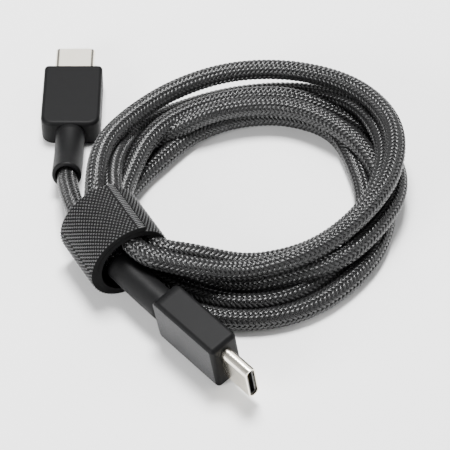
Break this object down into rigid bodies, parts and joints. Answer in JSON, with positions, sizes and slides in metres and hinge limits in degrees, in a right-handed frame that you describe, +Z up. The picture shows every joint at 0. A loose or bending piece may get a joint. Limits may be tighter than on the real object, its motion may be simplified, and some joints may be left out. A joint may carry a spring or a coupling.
{
  "type": "charging cable",
  "caption": "Braided charging cable coiled in loose turns and tied with a hook-and-loop strap, with a reversible oval plug, housing and sleeve at each end.",
  "frame": {"origin": "bottom centre of the box round both plugs and the strap, on the surface that the cable lies on", "axes": "+Z up; +Y along the flat plug, out of its tip; +X from the strap towards the middle of the coil"},
  "size_m": [0.0737, 0.0914, 0.0163],
  "materials": {
    "housing_plastic": "satin moulded, dark grey, fine diagonal ribs on one broad face",
    "plug_nickel": "bright nickel plate, slightly warm",
    "insulator_resin": "black moulded resin",
    "contact_gold": "gold plate",
    "spring_steel": "rolled stainless strip",
    "card_laminate": "green solder mask",
    "capacitor_ceramic": "ceramic body",
    "chip_resin": "black epoxy",
    "shield_tin": "tin plated sheet",
    "mould_resin": "translucent white resin, dull",
    "crimp_brass": "plain brass band",
    "wire_insulation": "coloured insulation",
    "sleeve_rubber": "soft matt elastomer",
    "cord_braid": "charcoal polymer braid",
    "strap_weave": "black hook-and-loop tape with a brushed loop face"
  },
  "bodies": {
    "cord": {"cord_coil": "cord_braid", "cord_tail_front": "cord_braid", "cord_tail_back": "cord_braid", "strap_band": "strap_weave"},
    "front_plug": {"front_housing": "housing_plastic", "front_connector_shell": "plug_nickel", "front_contact_carrier": "insulator_resin", "front_contacts_upper": "contact_gold", "front_contacts_lower": "contact_gold", "front_latch_plate": "spring_steel", "front_ground_spring_upper": "spring_steel", "front_ground_spring_lower": "spring_steel", "front_paddle_card": "card_laminate", "front_bypass_capacitors": "capacitor_ceramic", "front_shield_can_upper": "shield_tin", "front_shield_can_lower": "shield_tin", "front_inner_mould": "mould_resin", "front_cord_crimp": "crimp_brass", "front_conductors": "wire_insulation", "front_strain_relief": "sleeve_rubber", "front_marker_chip": "chip_resin"},
    "back_plug": {"back_housing": "housing_plastic", "back_connector_shell": "plug_nickel", "back_contact_carrier": "insulator_resin", "back_contacts_upper": "contact_gold", "back_contacts_lower": "contact_gold", "back_latch_plate": "spring_steel", "back_ground_spring_upper": "spring_steel", "back_ground_spring_lower": "spring_steel", "back_paddle_card": "card_laminate", "back_bypass_capacitors": "capacitor_ceramic", "back_shield_can_upper": "shield_tin", "back_shield_can_lower": "shield_tin", "back_inner_mould": "mould_resin", "back_cord_crimp": "crimp_brass", "back_conductors": "wire_insulation", "back_strain_relief": "sleeve_rubber"},
    "strap_flap": {"strap_tail": "strap_weave"}
  },
  "joints": [
    {"name": "front_plug_flex", "type": "hinge", "parent": "cord", "child": "front_plug", "pos_m": [-0.00024, -0.02131, 0.0065], "axis": [-0.7466, -0.6652, 0], "range_deg": [0, 30], "stiffness_Nm_per_rad": 0.03, "deforming": ["front_strain_relief", "cord_tail_front"]},
    {"name": "back_plug_flex", "type": "hinge", "parent": "cord", "child": "back_plug", "pos_m": [-0.01574, 0.0145, 0.00305], "axis": [1, 0, 0], "range_deg": [0, 30], "stiffness_Nm_per_rad": 0.03, "deforming": ["back_strain_relief", "cord_tail_back"]},
    {"name": "strap_peel", "type": "hinge", "parent": "cord", "child": "strap_flap", "pos_m": [-0.01162, -0.01464, 0.00892], "axis": [0.5, -0.866, 0], "range_deg": [0, 80], "stiffness_Nm_per_rad": 0.0005}
  ]
}
